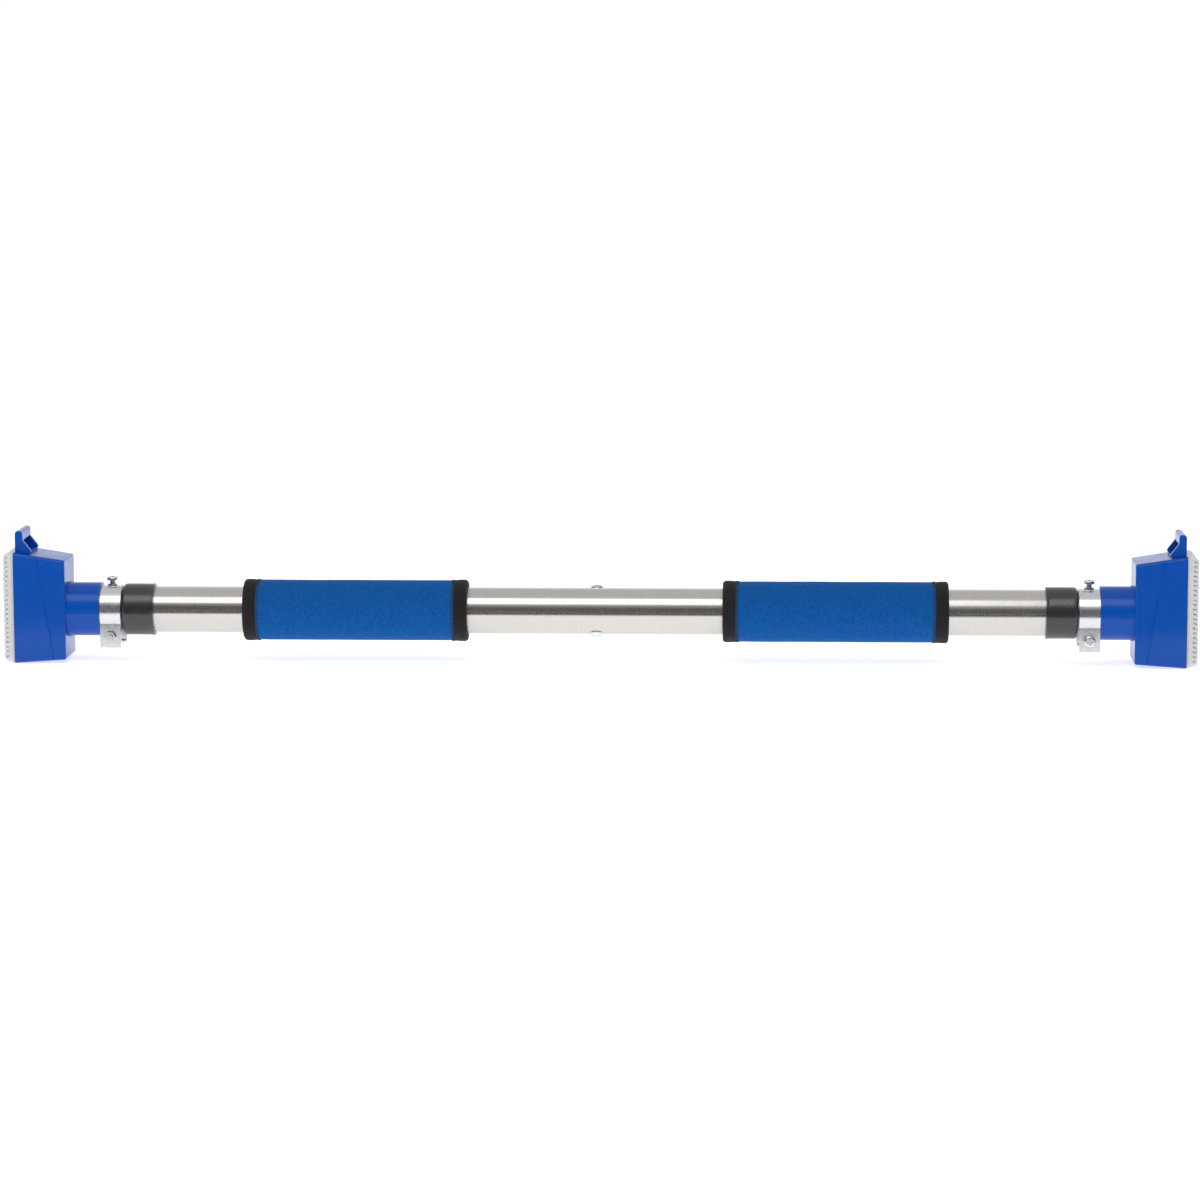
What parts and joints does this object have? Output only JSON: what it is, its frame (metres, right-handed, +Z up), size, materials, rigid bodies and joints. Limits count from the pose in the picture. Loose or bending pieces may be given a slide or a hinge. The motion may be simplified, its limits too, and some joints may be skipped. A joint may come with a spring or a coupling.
{
  "type": "doorway pull up bar",
  "caption": "Steel pull up bar with padded grips that screws out at both ends to jam rubber-faced wall supports between door posts.",
  "frame": {"origin": "on the bar's axis, at its mid length", "axes": "+X along the bar to the end whose clamp bolt faces -Y, +Z up to the screw ears, +Y across the bar"},
  "size_m": [0.818, 0.045, 0.091],
  "materials": {
    "tube_steel": "stainless steel, brushed round the tube",
    "zinc_steel": "bright zinc plate",
    "inner_steel": "plain rolled steel",
    "blue_plastic": "moulded, glossy",
    "bush_plastic": "natural nylon",
    "black_rubber": "smooth, satin",
    "pad_rubber": "milky, translucent",
    "blue_neoprene": "knit face over foam",
    "black_binding": "elastic tape, sewn"
  },
  "bodies": {
    "main_bar": {"main_tube": "tube_steel", "tube_liner": "inner_steel", "centre_rivets": "zinc_steel", "left_grip_sleeve": "blue_neoprene", "left_grip_bindings": "black_binding", "left_end_collar": "black_rubber", "left_drive_nut": "bush_plastic", "right_grip_sleeve": "blue_neoprene", "right_grip_bindings": "black_binding", "right_end_collar": "black_rubber", "right_drive_nut": "bush_plastic"},
    "left_guide": {"left_guide_bush": "bush_plastic"},
    "left_rod": {"left_threaded_tube": "inner_steel", "left_bush_clip": "inner_steel"},
    "left_support": {"left_neck_shell": "blue_plastic", "left_wall_shell": "blue_plastic", "left_shell_screws": "zinc_steel", "left_thrust_plate": "inner_steel", "left_thrust_plate_screws": "zinc_steel", "left_wall_pad": "pad_rubber", "left_lock_ring": "zinc_steel", "left_clamp_nut": "zinc_steel"},
    "left_clamp_bolt_body": {"left_clamp_bolt": "zinc_steel", "left_clamp_washer": "zinc_steel"},
    "left_lock_screw_body": {"left_lock_screw": "zinc_steel"},
    "right_guide": {"right_guide_bush": "bush_plastic"},
    "right_rod": {"right_threaded_tube": "inner_steel", "right_bush_clip": "inner_steel"},
    "right_support": {"right_neck_shell": "blue_plastic", "right_wall_shell": "blue_plastic", "right_shell_screws": "zinc_steel", "right_thrust_plate": "inner_steel", "right_thrust_plate_screws": "zinc_steel", "right_wall_pad": "pad_rubber", "right_lock_ring": "zinc_steel", "right_clamp_nut": "zinc_steel"},
    "right_clamp_bolt_body": {"right_clamp_bolt": "zinc_steel", "right_clamp_washer": "zinc_steel"},
    "right_lock_screw_body": {"right_lock_screw": "zinc_steel"}
  },
  "joints": [
    {"name": "left_extend", "type": "slide", "parent": "main_bar", "child": "left_guide", "axis": [-1, 0, 0], "range_m": [0, 0.11]},
    {"name": "left_screw", "type": "hinge", "parent": "left_guide", "child": "left_rod", "pos_m": [-0.25, 0, 0], "axis": [1, 0, 0], "range_deg": [0, 7920]},
    {"name": "left_swivel", "type": "hinge", "parent": "left_rod", "child": "left_support", "pos_m": [-0.35, 0, 0], "axis": [-1, 0, 0], "continuous": true},
    {"name": "left_clamp_bolt_out", "type": "slide", "parent": "left_support", "child": "left_clamp_bolt_body", "axis": [0, 1, 0], "range_m": [0, 0.0025]},
    {"name": "left_lock_screw_in", "type": "slide", "parent": "left_support", "child": "left_lock_screw_body", "axis": [0, 0, -1], "range_m": [0, 0.0022]},
    {"name": "right_extend", "type": "slide", "parent": "main_bar", "child": "right_guide", "axis": [1, 0, 0], "range_m": [0, 0.11]},
    {"name": "right_screw", "type": "hinge", "parent": "right_guide", "child": "right_rod", "pos_m": [0.25, 0, 0], "axis": [1, 0, 0], "range_deg": [0, 7920]},
    {"name": "right_swivel", "type": "hinge", "parent": "right_rod", "child": "right_support", "pos_m": [0.35, 0, 0], "axis": [1, 0, 0], "continuous": true},
    {"name": "right_clamp_bolt_out", "type": "slide", "parent": "right_support", "child": "right_clamp_bolt_body", "axis": [0, -1, 0], "range_m": [0, 0.0025]},
    {"name": "right_lock_screw_in", "type": "slide", "parent": "right_support", "child": "right_lock_screw_body", "axis": [0, 0, -1], "range_m": [0, 0.0022]}
  ],
  "couplings": [
    {"joint": "left_screw", "follows": "left_extend", "rad_per_m": 1256.6},
    {"joint": "right_screw", "follows": "right_extend", "rad_per_m": 1256.6}
  ]
}
